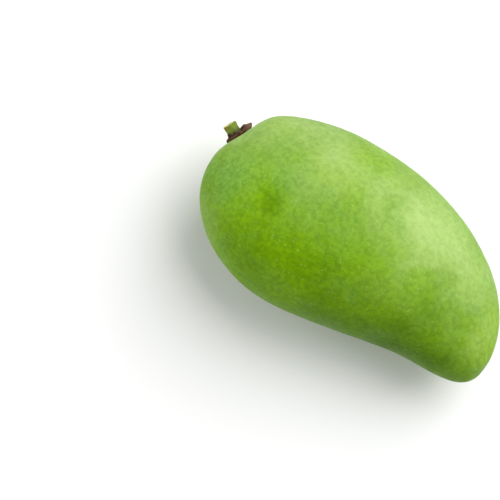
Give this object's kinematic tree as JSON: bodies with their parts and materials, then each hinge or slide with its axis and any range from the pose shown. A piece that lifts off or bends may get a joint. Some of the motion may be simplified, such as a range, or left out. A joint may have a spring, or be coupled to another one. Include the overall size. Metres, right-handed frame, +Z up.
{
  "type": "mango",
  "caption": "Whole green mango with a short cut stalk, lying on one cheek, for food displays, kitchens, market stalls and table settings.",
  "frame": {"origin": "the middle of the object's footprint box, on the surface that it rests on", "axes": "+X along the fruit from the stalk to the beak, +Y from the belly to the back, +Z up through its thickness"},
  "size_m": [0.147, 0.0828, 0.0695],
  "materials": {
    "skin": "waxy green fruit skin with a pale bloom and tiny pale dots, satin",
    "stalk": "olive-brown woody stub on a dark corky collar, matt"
  },
  "bodies": {
    "root": {"fruit": "skin", "stalk": "stalk"}
  },
  "joints": []
}
